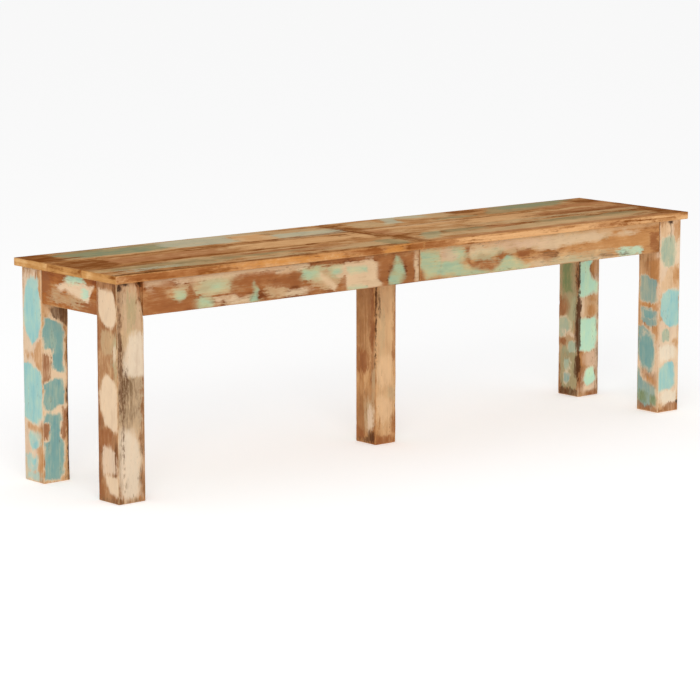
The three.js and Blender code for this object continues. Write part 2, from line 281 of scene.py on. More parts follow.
def wood_group(grain):
    """Bare wood whose grain runs along that axis, and the noises that its paint wears by."""
    def build(g, shift, pith, dark, middle, light):
        place = g.vector("ADD", g.place(), shift).outputs[0]
        broad = g.spread(g.noise(place, along_grain(grain, 2.6, 22.0), 2.0))
        thin = g.noise(place, along_grain(grain, 9.0, 230.0), 3.0, 0.65, 0.4)
        streaks = g.noise(place, along_grain(grain, 3.2, 75.0), 2.0, 0.5, 0.5)
        lines = g.spread(g.sum((thin, 0.6), (streaks, 0.55), -0.075))
        fibres = g.spread(g.noise(place, along_grain(grain, 40.0, 900.0), 2.0, 0.6))
        blotch = g.spread(g.noise(place, along_grain(grain, 22.0, 42.0), 4.0, 0.6, 0.3))
        ragged = g.spread(g.noise(place, along_grain(grain, 90.0, 260.0), 3.0, 0.6, 0.2))
        sway = g.noise(place, along_grain(grain, 2.4, 9.0), 2.0)
        across = g.vector("MULTIPLY", g.vector("SUBTRACT", g.place(), pith).outputs[0],
                          along_grain(grain, 0.0, 1.0)).outputs[0]
        radius = g.vector("LENGTH", across).outputs["Value"]
        rings = g.math("SINE", g.sum((radius, 2 * math.pi / RING_SPACING), (sway, RING_SWAY)))
        terms = (broad, 0.32), (lines, 0.26), (rings, 0.02), (fibres, 0.10), (blotch, 0.32)
        colour = g.tones(g.sum(*terms), dark, middle, light, 0.18, 0.50, 0.82)
        pores = g.product(g.remap(fibres, 0.75, 0.95), PORES)
        return g.mix(pores, colour, dark), lines, fibres, blotch, ragged

    return make_group("wood_along_" + grain, WOOD_INPUTS, WOOD_OUTPUTS, build)


PAINT_INPUTS = {"Colour": COLOUR, "Coat": FLOAT, "Field": FLOAT}
PAINT_INPUTS.update({label: FLOAT for label in ("Lines", "Fibres", "Blotch", "Ragged")})
PAINT_OUTPUTS = {"Colour": COLOUR, "Coat": FLOAT}


def paint_group(name):
    """One worn coat of paint over whatever colour comes in. Field is how far inside its patches, in mm."""
    paint = Paint(*PAINTS[name])
    greenish = paint.colour[1] > paint.colour[0]
    cool = pigment(paint.colour, (0.78, 0.90, 0.98) if greenish else (0.88, 0.84, 0.82))
    warm = pigment(paint.colour, (1.14, 1.10, 1.00) if greenish else (1.10, 1.11, 1.12))

    def build(g, colour, coat, field, lines, fibres, blotch, ragged):
        pull = g.sum((ragged, 2 * paint.ragged), (lines, 2 * paint.streak), -paint.ragged - paint.streak)
        field = g.math("ADD", field, pull)
        if paint.primed:
            primer = g.remap(g.sum(field, (blotch, HALO)), -0.5, 3.5)
            patchy = g.sum((lines, 0.35), 0.50)
            colour = g.mix(g.product(primer, patchy), colour, pigment(PRIMER))
        wear = g.sum((fibres, 0.30), (lines, 0.40), (blotch, 0.30))
        worn = g.remap(wear, 0.42 - paint.thin, 0.78 - paint.thin, 1.0, 1.0 - paint.worn)
        fade = g.math("DIVIDE", field, g.sum((blotch, 1.4 * paint.soft), 0.4 * paint.soft))
        cover = g.product(g.remap(fade, -1.0, 1.0), worn, paint.solid)
        shade = g.sum((blotch, 0.45), (lines, 0.35), (fibres, 0.20))
        tint = g.tones(shade, cool, pigment(paint.colour), warm, 0.15, 0.50, 0.85)
        return g.mix(cover, colour, tint), g.math("MAXIMUM", coat, cover)

    return make_group("paint_" + name, PAINT_INPUTS, PAINT_OUTPUTS, build)


BARK = (86, 50, 24)
BARK_SOLID = 0.92
RUBBED_FULL, RUBBED_NONE = 0.6, 3.0   # mm from an arris where its rubbed tone is full and where it ends
ROUGHNESS = 0.42              # of bare wood
RELIEF = 0.0006               # metres that paint and grain stand up
SHEEN = 0.14                  # the specular level of wood; the seat has none
OWN_GRAIN = (1.31, 0.73, 1.97)        # metres of noise between one board's grain and the next one's
LIP_MIDDLE, LIP_LIGHT = (202, 148, 90), (228, 182, 126)       # the tones of the seat's ends
GROUPS = {}


def group(make, key):
    """The node group that make(key) builds, made once."""
    if (make, key) not in GROUPS:
        GROUPS[make, key] = make(key)
    return GROUPS[make, key]


def wood_material(name, wood, grain, centre, layers=(), seed=0, rubbed=None, lipped=False, sheen=SHEEN):
    """Grained wood under worn layers of paint. layers are (paint name, attribute name), lowest first.

    A lipped board's ends show grain that runs along them.
    """
    material, g = start_material(name)
    spin = 2.4 * seed
    away = np.array([math.cos(spin), math.sin(spin), math.sin(spin + 0.8)]) * (0.04 + 0.01 * (seed % 5))
    pith = tuple(np.array(centre) + away)
    shift = tuple(step * seed for step in OWN_GRAIN)
    dark, middle, light = (pigment(c) for c in WOODS[wood])
    colour, *noises = g.use(group(wood_group, grain), shift, pith, dark, middle, light)
    lines, fibres, blotch, ragged = noises
    coat = 0.0
    for paint, attribute in layers:
        colour, coat = g.use(group(paint_group, paint), colour, coat, g.attribute(attribute), *noises)
    if lipped:
        lip = g.use(group(wood_group, "y"), shift, pith, dark, pigment(LIP_MIDDLE), pigment(LIP_LIGHT))[0]
        normal = g.node("ShaderNodeNewGeometry").outputs["Normal"]
        end = g.math("ABSOLUTE", g.node("ShaderNodeSeparateXYZ", {"Vector": normal}).outputs[0])
        colour = g.mix(g.remap(end, 0.6, 0.9), colour, lip)
    if rubbed:
        edge = g.remap(g.attribute("arris"), RUBBED_FULL, RUBBED_NONE, 1.0, 0.0)
        edge = g.product(edge, g.sum((ragged, 0.65), 0.15))
        colour = g.mix(edge, colour, pigment(rubbed))
        bark = g.sum(g.attribute("bark"), (ragged, 0.5), (lines, 0.4), -0.45)
        colour = g.mix(g.remap(bark, 0.25, 0.60, 0.0, BARK_SOLID), colour, pigment(BARK))
    height = g.sum((fibres, 0.15), (lines, 0.20), (coat, 0.40))
    roughness = g.sum((blotch, 0.10), (coat, 0.08), ROUGHNESS)
    return finish_material(material, g, colour, roughness, height, RELIEF, **{"Specular IOR Level": sheen})


def zinc_material():
    """Dull zinc plate with faint draw lines and darker specks."""
    material, g = start_material("zinc_plate")
    fine = g.noise(g.place(), (900.0, 900.0, 240.0))
    specks = g.noise(g.place(), (160.0, 160.0, 160.0), 4.0, 0.65)
    dark, middle, light = linear(118, 116, 110), linear(176, 178, 180), linear(202, 204, 206)
    colour = g.tones(specks, dark, middle, light, 0.35, 0.5, 0.7)
    roughness = g.sum((fine, 0.3), 0.25)
    return finish_material(material, g, colour, roughness, fine, 0.0001, Metallic=0.9)


# ---------------------------------------------------------------------------------------- board meshes


def value_noise(points, wavelength, seed):
    """Smooth noise from 0 to 1 whose bumps are that far apart along x, y and z, in metres."""
    scaled = points / np.asarray(wavelength, float) + 0.37 * seed
    cell = np.floor(scaled).astype(np.int64)
    t = scaled - cell
    t = t * t * (3 - 2 * t)
    total = np.zeros(len(points))
    for corner in itertools.product((0, 1), repeat=3):
        x, y, z = (cell + corner).T
        mixed = x * 374761393 + y * 668265263 + z * 2147483647 + seed * 974711
        mixed = (mixed ^ (mixed >> 13)) * 1274126177
        mixed ^= mixed >> 16
        weight = np.prod(np.where(corner, t, 1 - t), axis=1)
        total += weight * (mixed & 0xFFFF) / 0xFFFF
    return total


def rows(low, high, arris, pitch):
    """Grid rows from low to high, close together over the rounded arris at each end."""
    near = arris * np.array([0.0, 0.12, 0.35, 0.65])
    count = max(2, round((high - low - 2 * arris) / pitch))
    middle = np.linspace(low + arris, high - arris, count + 1)
    return np.concatenate([low + near, middle, (high - near)[::-1]])


def box_grid(low, high, arris, pitches):
    """The surface of a box as one closed grid of quads: points and faces."""
    axes = [rows(low[i], high[i], arris, pitches[i]) for i in range(3)]
    counts = [len(a) for a in axes]
    stride = (1, counts[0], counts[0] * counts[1])
    quads = []
    for axis in range(3):
        u, v = (axis + 1) % 3, (axis + 2) % 3
        i, j = np.meshgrid(np.arange(counts[u] - 1), np.arange(counts[v] - 1), indexing="ij")
        for side in (0, counts[axis] - 1):
            base = (side * stride[axis] + i * stride[u] + j * stride[v]).ravel()
            ring = [base, base + stride[u], base + stride[u] + stride[v], base + stride[v]]
            if side == 0:
                ring.reverse()
            quads.append(np.stack(ring, axis=1))
    quads = np.concatenate(quads)
    used, faces = np.unique(quads, return_inverse=True)
    k, rest = np.divmod(used, stride[2])
    j, i = np.divmod(rest, stride[1])
    points = np.stack([axes[0][i], axes[1][j], axes[2][k]], axis=1)
    return points, faces.reshape(quads.shape)


def add_object(name, data):
    made = bpy.data.objects.new(name, data)
    bpy.context.scene.collection.objects.link(made)
    return made


def add_mesh(name, points, quads):
    mesh = bpy.data.meshes.new(name)
    mesh.from_pydata(points.tolist(), [], quads.tolist())
    return add_object(name, mesh)


# A waney arris of a leg: the sides of the leg that it joins, where it starts and ends in mm above the floor,
# how far it reaches in mm, and how dark its bark is, from 0 to 1.
Wane = namedtuple("Wane", "x_side y_side bottom top reach dark")
WANE_FADE = 50.0              # mm in which a waney arris starts and ends
CHIP_START = 0.78             # where the chips' noise is above this, the arris is chipped
CHIP_SIZE = 9.0               # mm that the arris's radius would grow over the whole run of that noise
CHIP_MOST = 2.0               # mm that it can grow
ARRIS_LEAST, ARRIS_MORE, ARRIS_MOST = 0.45, 0.9, 1.4  # its radius without chips, in shares of its own value
ARRIS_SHARPEST = 0.3          # mm
THIN_SHARE = 0.45             # the share of a board's thinnest side that the radius stays under


def wane_share(points, low, high, wane, seed):
    """How much a waney arris shows at each point: 1 up to 0.4 of its ragged reach, and 0 from 1.4 on."""
    x = (high[0] - points[:, 0] if wane.x_side > 0 else points[:, 0] - low[0]) / MM
    y = (high[1] - points[:, 1] if wane.y_side > 0 else points[:, 1] - low[1]) / MM
    z = points[:, 2] / MM
    ends = np.clip((z - wane.bottom) / WANE_FADE, 0, 1) * np.clip((wane.top - z) / WANE_FADE, 0, 1)
    ragged = value_noise(points, (0.03, 0.03, 0.022), seed + 91)
    reach = wane.reach * (0.5 + 1.3 * ragged)
    return np.clip(1.4 - np.maximum(x, y) / reach, 0, 1) * ends


def worn_board(name, low, high, grain, seed, arris=2.0, uneven=0.5, pitch=(4.0, 3.2), wanes=()):
    """A board inside its box, with rounded arrises that wear unevenly and faces that aren't quite flat.

    low and high are in metres, and arris, uneven and pitch in mm.
    """
    low, high = np.array(low, float), np.array(high, float)
    widest = arris * ARRIS_MOST + CHIP_MOST + max((wane.reach for wane in wanes), default=0.0)
    widest = min(widest * MM, THIN_SHARE * (high - low).min())
    points, faces = box_grid(low, high, widest, along_grain(grain, pitch[0] * MM, pitch[1] * MM))
    radius = arris * (ARRIS_LEAST + ARRIS_MORE * value_noise(points, along_grain(grain, 0.035, 0.02), seed))
    chips = value_noise(points, (0.013, 0.013, 0.013), seed + 5)
    radius += np.clip(chips - CHIP_START, 0, 1) * CHIP_SIZE
    for wane in wanes:
        radius += wane_share(points, low, high, wane, seed) * wane.reach
    radius = np.clip(radius * MM, ARRIS_SHARPEST * MM, widest)[:, None]
    inner = np.clip(points, low + radius, high - radius)
    outward = points - inner
    outward /= np.maximum(np.linalg.norm(outward, axis=1, keepdims=True), 1e-9)
    shaped = inner + outward * radius
    sink = uneven * value_noise(points, along_grain(grain, 0.25, 0.05), seed + 1)
    sink += 0.4 * uneven * value_noise(points, along_grain(grain, 0.03, 0.009), seed + 2)
    shaped -= outward * (sink * MM)[:, None]
    return add_mesh(name, shaped, faces)


def cut_and_join(board, boxes, operation):
    """Cuts boxes out of a board, or joins them to it. boxes are (low, high) in metres."""
    mesh = bmesh.new()
    for low, high in boxes:
        size, middle = Vector(high) - Vector(low), (Vector(high) + Vector(low)) / 2
        bmesh.ops.create_cube(mesh, matrix=Matrix.Translation(middle) @ Matrix.Diagonal((*size, 1)))
    data = bpy.data.meshes.new("tools")
    mesh.to_mesh(data)
    mesh.free()
    tools = add_object("tools", data)
    modifier = board.modifiers.new("joint", "BOOLEAN")
    modifier.operation = operation
    modifier.solver = "EXACT"
    modifier.object = tools
    made = bpy.data.meshes.new_from_object(board.evaluated_get(bpy.context.evaluated_depsgraph_get()))
    board.modifiers.clear()
    old, board.data = board.data, made
    for data in (old, data):
        bpy.data.meshes.remove(data)


# --------------------------------------------------------------------------------------------- joinery

GAP = 0.0003                  # metres of clearance that joints and neighbours keep
REACH = 0.002                 # metres that a tenon's or a cut's box runs on past the face that it starts from
TENON = (0.025, 0.010, 0.045)         # length, thickness and height, in metres
STUB = (0.0077, 0.010, 0.050)         # of a cross rail, let into the long aprons


def tenon_ends(name):
    """The ends of a rail that have tenons, as (axis, side, size, the board that takes it)."""
    words = name.split("_")
    if words[0] == "apron" and words[1] == "end":
        return [(1, -1, TENON, "leg_front_" + words[2]), (1, 1, TENON, "leg_rear_" + words[2])]
    if words[0] == "apron":
        return [(0, 1 if words[2] == "right" else -1, TENON, f"leg_{words[1]}_{words[2]}")]
    if words[0] == "cross":
        return [(1, -1, STUB, "apron_front_" + words[2]), (1, 1, STUB, "apron_rear_" + words[2])]
    return []


def body_box(name):
    """A board's box without its tenons, as two arrays in metres."""
    low, high = (np.array(corner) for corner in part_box(name))
    for axis, side, (length, _, _), _ in tenon_ends(name):
        if side > 0:
            high[axis] -= length
        else:
            low[axis] += length
    return low, high


def tenon_box(low, high, axis, side, size, grow=0.0):
    """The box of a tenon on the end of the board whose body has that box."""
    length, thickness, height = size
    middle = (low + high) / 2
    start, end = middle.copy(), middle.copy()
    face = high[axis] if side > 0 else low[axis]
    ends = sorted((face - side * REACH, face + side * (length + grow)))
    start[axis], end[axis] = ends
    for across, extent in ((1 - axis, thickness), (2, height)):
        start[across] -= extent / 2 + grow
        end[across] += extent / 2 + grow
    return start, end


def cuts_in(name):
    """The boxes that other boards' tenons need cut out of this one, and the centre leg's rebate."""
    boxes = []
    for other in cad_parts:
        for axis, side, size, taker in tenon_ends(other):
            if taker == name:
                boxes.append(tenon_box(*body_box(other), axis, side, size, grow=GAP))
    if name == "leg_centre":
        low, high = body_box(name)
        rail_low, rail_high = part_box("cross_rail_right")
        shoulder, tongue = rail_low[2] - GAP, rail_high[0] + GAP
        boxes.append(((*(low - REACH)[:2], shoulder), (tongue, *(high + REACH)[1:])))
    return boxes


def fit_joints(board, name):
    low, high = body_box(name)
    tenons = [tenon_box(low, high, axis, side, size) for axis, side, size, _ in tenon_ends(name)]
    if tenons:
        cut_and_join(board, tenons, "UNION")
    cuts = cuts_in(name)
    if cuts:
        cut_and_join(board, cuts, "DIFFERENCE")


# ---------------------------------------------------------------------------------------------- paint

# A face as it is seen from outside: the axis to the right and its sign, the axis up, and the axis and sign
# that it faces.
FACES = {
    "front": (0, 1, 2, 1, -1),
    "back": (0, -1, 2, 1, 1),
    "left": (1, -1, 2, 0, -1),
    "right": (1, 1, 2, 0, 1),
    "top": (0, 1, 1, 2, 1),
    "under": (0, -1, 1, 2, -1),
}
DRIFT = 4.0                   # mm that a patch's outline wanders
ARRIS_BARE = 1.4              # mm of bare wood along an arris
ARRIS_RISE = 2.5              # how fast the paint comes back beyond that
FACE_LEAN = 0.45              # a face's paint goes on where the normal leans this much towards its side,
FACE_DEPTH = 5.0              # and within this many mm of it
ARRIS_REACH = 60.0            # mm from the arris up to which the distance is kept


def oval_field(u, v, patch):
    """How far inside a rounded oblong each place is. patch is (u, v, half width, half height, turn)."""
    u0, v0, half_u, half_v, *rest = patch
    turn = math.radians(rest[0] if rest else 0.0)
    du, dv = u - u0, v - v0
    a = (du * math.cos(turn) + dv * math.sin(turn)) / half_u
    b = (dv * math.cos(turn) - du * math.sin(turn)) / half_v
    far = (np.abs(a) ** 3 + np.abs(b) ** 3) ** (1 / 3)
    return (1 - far) * min(half_u, half_v)


def outline_field(u, v, outline):
    """How far inside a closed outline each place is."""
    nearest = np.full(len(u), np.inf)
    inside = np.zeros(len(u), bool)
    for (u0, v0), (u1, v1) in zip(outline, outline[1:] + outline[:1]):
        du, dv = u1 - u0, v1 - v0
        along = np.clip(((u - u0) * du + (v - v0) * dv) / (du * du + dv * dv), 0, 1)
        nearest = np.minimum(nearest, np.hypot(u - u0 - along * du, v - v0 - along * dv))
        if dv:
            inside ^= ((v0 > v) != (v1 > v)) & (u < u0 + (v - v0) * du / dv)
    return np.where(inside, nearest, -nearest)


def patch_field(u, v, patch):
    """How far inside a patch each place is, in mm: an oblong's five numbers or an outline's corners."""
    return outline_field(u, v, patch) if isinstance(patch[0], tuple) else oval_field(u, v, patch)


def layer_order(paint):
    """The fewest layers that keep each face's own order, and the layer that each entry goes in."""
    layers, placed, at = [], [], {}
    for face, name, _ in paint:
        start = at.get(face, 0)
        found = next((i for i in range(start, len(layers)) if layers[i] == name), len(layers))
        if found == len(layers):
            layers.append(name)
        at[face] = found
        placed.append(found)
    return layers, placed


def read_vectors(mesh, name):
    values = np.empty(len(mesh.vertices) * 3)
    mesh.vertices.foreach_get(name, values)
    return values.reshape(-1, 3)


def write_attribute(mesh, name, values):
    layer = mesh.attributes.new(name, "FLOAT", "POINT")
    layer.data.foreach_set("value", np.asarray(values, np.float32))


def lay_paint(board, low, high, grain, paint, seed, wanes=()):
    """Writes an attribute for each paint layer, in mm inside its patches, and returns (paint, attribute)."""
    mesh = board.data
    points, normals = read_vectors(mesh, "co"), read_vectors(mesh, "normal")
    to_low, to_high = (points - low) / MM, (high - points) / MM
    arris = np.sort(np.minimum(to_low, to_high), axis=1)[:, 1]
    wave = along_grain(grain, 0.020, 0.013)
    shift_u = (value_noise(points, wave, seed + 71) - 0.5) * 2 * DRIFT
    shift_v = (value_noise(points, wave, seed + 83) - 0.5) * 2 * DRIFT
    layers, placed = layer_order(paint)
    fields = [np.full(len(points), CLEAR) for _ in layers]
    for (face, _, patches), layer in zip(paint, placed):
        right, sign, up, facing, side = FACES[face]
        u = to_low[:, right] if sign > 0 else to_high[:, right]
        v = to_low[:, up]
        depth = to_high[:, facing] if side > 0 else to_low[:, facing]
        seen = (normals[:, facing] * side > FACE_LEAN) & (depth < FACE_DEPTH)
        field = np.full(len(points), CLEAR)
        for patch in patches:
            field = np.maximum(field, patch_field(u + shift_u, v + shift_v, patch))
        field = np.minimum(field, (arris - ARRIS_BARE) * ARRIS_RISE)
        fields[layer] = np.where(seen, np.maximum(fields[layer], field), fields[layer])
    named = []
    for i, (name, field) in enumerate(zip(layers, fields)):
        write_attribute(mesh, f"paint_{i}", np.clip(field, CLEAR, -CLEAR))
        named.append((name, f"paint_{i}"))
    write_attribute(mesh, "arris", np.clip(arris, 0, ARRIS_REACH))
    bark = np.zeros(len(points))
    for wane in wanes:
        bark = np.maximum(bark, wane_share(points, low, high, wane, seed) * wane.dark)
    write_attribute(mesh, "bark", bark)
    return named


# The seeded patches: their least number, how many to each square of the face, half their length and width
# as shares of the face's narrow side, and the degrees that they turn.
PATCHES_LEAST, PATCHES_PER_SQUARE = 4, 1.3
HALF_LENGTH, HALF_WIDTH, TURN = (0.5, 1.6), (0.22, 0.52), 9
NARROW = 40                   # mm; a face no wider than this gets none


def scatter(face, width, height, paints, count, seed):
    """Seeded patches over a face that the listed ones don't cover."""
    draw = np.random.default_rng(seed)
    wide = width > height
    across = min(width, height)
    laid = []
    for i in range(count):
        name = paints[i % len(paints)]
        u, v = draw.uniform(0.04, 0.96) * width, draw.uniform(0.05, 0.95) * height
        long, short = draw.uniform(*HALF_LENGTH) * across, draw.uniform(*HALF_WIDTH) * across
        half = (long, short) if wide else (short, long)
        laid.append((face, name, [(u, v, *half, draw.uniform(-TURN, TURN))]))
    return laid


# ------------------------------------------------------------------- paint on the faces, in millimetres

# For each board and face, the paint's name and its patches, lowest first.
PAINT = {}
PAINT["leg_front_left", "left"] = [
    ("brown", (10, 345, 12, 26), (10, 20, 12, 18)),
    ("redbrown", (24, 128, 28, 22), (3, 230, 5, 200)),
    ("tanwash", (38, 322, 26, 24)),
    ("greenwash", (60, 290, 6, 26)),
    ("cream",
     [(9, 426), (56, 426), (63, 400), (65, 370), (54, 352), (28, 354), (9, 380), (4, 405)],
     [(32, 257), (48, 255), (66, 232), (68, 149), (52, 146), (24, 158), (9, 186), (7, 225), (18, 248)],
     [(22, 56), (66, 57), (69, 20), (60, 16), (38, 22), (28, 38)]),
    ("grime", (34, 3, 36, 5)),
    ("blush", [(18, 110), (42, 114), (60, 106), (64, 60), (16, 56), (12, 92)], (60, 301, 5, 9)),
]
PAINT["leg_front_left", "front"] = [
    ("greige", (33, 225, 36, 230)),
    ("tanwash", (38, 330, 26, 20)),
    ("drab", (40, 200, 30, 60), (16, 190, 16, 60)),
    ("olive", (36, 385, 12, 32)),
    ("grime", (10, 225, 11, 100), (30, 204, 18, 48), (62, 120, 6, 125), (6, 380, 8, 60)),
    ("brown", (62, 110, 5, 120), (58, 426, 10, 28)),
    ("chalk",
     [(18, 262), (34, 252), (66, 254), (68, 330), (50, 346), (26, 334), (20, 300)],
     [(1, 130), (12, 152), (36, 146), (50, 116), (56, 60), (52, 16), (30, 8), (4, 14), (-2, 70)]),
    ("darkbrown", (15, 190, 2.5, 44), (8, 246, 2, 26), (4, 330, 2, 40), (24, 232, 1.5, 16)),
    ("grime", (4, 90, 6, 50), (12, 40, 10, 12), (33, 3, 36, 5), (60, 90, 6, 90)),
    ("knot", (22, 438, 9, 5), (7, 434, 4, 7)),
]
PAINT["leg_rear_left", "left"] = [
    ("blush", (29, 222, 36, 226)),
    ("orange",
     [(52, 292), (69, 300), (69, 222), (58, 232), (36, 254), (40, 268)],
     [(10, 122), (62, 122), (70, 108), (60, 102), (10, 108)],
     (58, 60, 12, 50), (67, 410, 4, 30), (34, 262, 18, 7)),
    ("teal",
     [(20, 420), (50, 418), (62, 390), (66, 350), (57, 305), (38, 287), (26, 292), (9, 322), (5, 365),
      (12, 398)],
     [(-6, 246), (26, 246), (58, 229), (66, 212), (64, 142), (52, 125), (30, 123), (-6, 131)],
     [(18, 102), (30, 101), (56, 87), (52, 76), (30, 69), (22, 76)]),
    ("paleteal", (26, 40, 20, 18), (32, 13, 24, 9), (38, 412, 20, 12), (40, 92, 22, 14)),
    ("teal", (32, 44, 10, 8), (42, 84, 8, 5)),
]
PAINT["leg_rear_left", "front"] = [
    ("cream", (29, 178, 29, 180)),
    ("darkbrown", [(18, 364), (70, 364), (70, 312), (48, 328)], (65, 140, 4, 140)),
    ("redbrown",
     [(-2, 268), (18, 266), (25, 236), (17, 208), (-2, 204)],
     [(-2, 128), (17, 126), (20, 106), (14, 92), (-2, 94)],
     [(47, 154), (62, 152), (60, 90), (50, 84), (45, 104)]),
    # The teal on this face is darkened as painted shade, as in the shade under the seat behind the front left
    # leg.
    ("deepteal",
     [(5, 343), (18, 343), (50, 324), (56, 308), (52, 276), (6, 278), (3, 300)],
     [(28, 286), (52, 286), (52, 226), (44, 224), (25, 242)],
     [(3, 206), (18, 207), (32, 215), (48, 213), (56, 188), (52, 161), (10, 151), (3, 165)],
     [(2, 141), (14, 145), (45, 143), (46, 126), (38, 120), (2, 130)],
     [(17, 130), (42, 130), (42, 84), (18, 84)],
     [(2, 85), (45, 92), (52, 80), (52, 18), (40, 6), (3, 8)]),
]
PAINT["leg_centre", "left"] = [
    ("tawny", (26, 280, 30, 96), (24, 60, 24, 60)),
    ("redbrown", (56, 240, 6, 130), (22, 182, 22, 26), (14, 18, 14, 16)),
    ("tanwash", (46, 64, 16, 34), (60, 120, 6, 60)),
    ("blush", (50, 58, 11, 24)),
    ("darkbrown", (54, 18, 10, 14), (40, 6, 20, 5)),
]
PAINT["leg_centre", "front"] = [
    ("buff", (29, 200, 27, 190), (30, 300, 26, 60)),
    ("peach", (26, 160, 20, 34), (26, 78, 20, 30)),
    ("tanwash", (46, 112, 12, 16), (18, 250, 8, 40)),
    ("brown", (52, 38, 7, 24), (54, 240, 4, 60)),
    ("redbrown", (29, 6, 34, 13)),
    ("darkbrown", (8, 300, 2.5, 9), (5, 322, 2, 12)),
]
PAINT["leg_rear_right", "left"] = [
    ("tanwash", (28, 190, 30, 190)),
    ("lichen", (46, 215, 18, 60), (34, 66, 30, 58)),
    ("redbrown", [(-2, 242), (20, 236), (40, 215), (35, 198), (-2, 186)], (12, 128, 14, 10)),
    ("olive", (30, 275, 30, 46), (34, 62, 30, 42)),
    ("moss", [(12, 322), (42, 322), (42, 250), (16, 244), (8, 270)]),
    # Painted shade: the teal on this inner face is darkened.
    ("greyteal", (30, 42, 10, 12)),
    ("sage",
     [(-4, 186), (26, 186), (40, 170), (34, 152), (10, 138), (-4, 148)],
     (47, 117, 15, 13), (28, 74, 10, 14)),
    ("greenwash", [(28, 186), (48, 236), (60, 236), (58, 190), (46, 165), (32, 165)]),
    ("blush", (42, 146, 20, 5, -8)),
    ("darkbrown", (60, 280, 5, 34), (60, 165, 6, 46), (61, 76, 6, 20), (34, 8, 36, 11)),
]
PAINT["leg_rear_right", "front"] = [
    ("blush", (14, 215, 14, 26), (60, 165, 8, 150), (46, 88, 20, 18), (34, 22, 28, 10)),
    ("orange",
     [(40, 322), (62, 322), (60, 290), (46, 292), (38, 304)],
     [(-2, 108), (20, 106), (20, 76), (10, 72), (-2, 90)]),
    ("buff", [(16, 234), (44, 246), (64, 244), (64, 188), (12, 187)]),
    ("orange", (42, 204, 12, 12), (44, 232, 10, 7)),
    ("pink", (34, 92, 24, 14)),
    ("cream", (14, 208, 5, 22), (24, 20, 20, 6), (12, 40, 5, 16)),
    ("brown", (7, 36, 9, 28), (48, 6, 18, 6)),
    # The mint on this face is lightened as painted light against the shade under the seat.
    ("brightmint",
     [(1, 322), (42, 322), (36, 300), (44, 282), (62, 266), (60, 246), (20, 240), (1, 236)],
     [(2, 188), (53, 186), (60, 178), (54, 114), (40, 106), (2, 110)],
     [(28, 65), (52, 68), (55, 34), (28, 25), (17, 38)]),
    ("grime", (62, 170, 4, 140)),
]
PAINT["leg_front_right", "left"] = [
    ("blush", (64, 200, 6, 210), (30, 100, 30, 100)),
    ("orange", (30, 248, 34, 9), (56, 330, 22, 26), (58, 188, 11, 22)),
    # The teal on this inner face is darker and greyer as painted shade.
    ("greyteal",
     [(6, 308), (20, 314), (60, 310), (62, 260), (44, 251), (8, 260)],
     [(10, 241), (42, 241), (58, 232), (58, 204), (34, 197), (10, 214)],
     [(2, 194), (20, 196), (52, 180), (54, 140), (50, 98), (40, 91), (10, 106), (1, 135)],
     [(-4, 97), (7, 98), (20, 72), (60, 60), (60, 18), (40, 8), (3, 10), (-4, 40)]),
    # Painted shade: darker teal on this face inside the bench.
    ("deepteal", (34, 226, 18, 10), (30, 140, 22, 40)),
    ("tawny", [(12, 102), (60, 86), (64, 60), (40, 62), (20, 80)]),
    ("orange", (44, 74, 18, 6, -20)),
    ("moss", (20, 34, 12, 14), (52, 26, 12, 10)),
    ("brown", [(-2, 24), (20, 18), (40, 16), (70, 12), (70, -4), (-2, -4)]),
]
PAINT["leg_front_right", "front"] = [
    ("blush", (33, 345, 33, 95), (30, 180, 32, 36)),
    ("cream", (33, 90, 34, 82), (56, 370, 10, 36)),
    ("peach", [(34, 338), (64, 340), (64, 284), (8, 280), (4, 300)], (18, 420, 14, 20)),
    ("orange", (54, 312, 10, 22), (52, 155, 12, 12), (52, 415, 10, 18)),
    ("sage",
     [(10, 402), (40, 405), (50, 387), (50, 350), (40, 334), (18, 336), (6, 352), (5, 382)],
     (24, 178, 12, 12)),
    ("white", (28, 138, 26, 18)),
    ("teal",
     [(12, 273), (30, 282), (52, 283), (65, 277), (65, 203), (52, 195), (38, 197), (10, 212), (4, 230),
      (6, 260)],
     [(2, 104), (20, 112), (44, 116), (52, 104), (50, 62), (40, 52), (4, 46), (1, 60)]),
    ("white", (32, 34, 31, 14)),
    ("brown", [(-2, 10), (20, 12), (30, 19), (68, 20), (68, -4), (-2, -4)]),
    ("knot", (33, 439, 9, 4), (33, 420, 1.6, 16), (60, 20, 4, 4)),
]
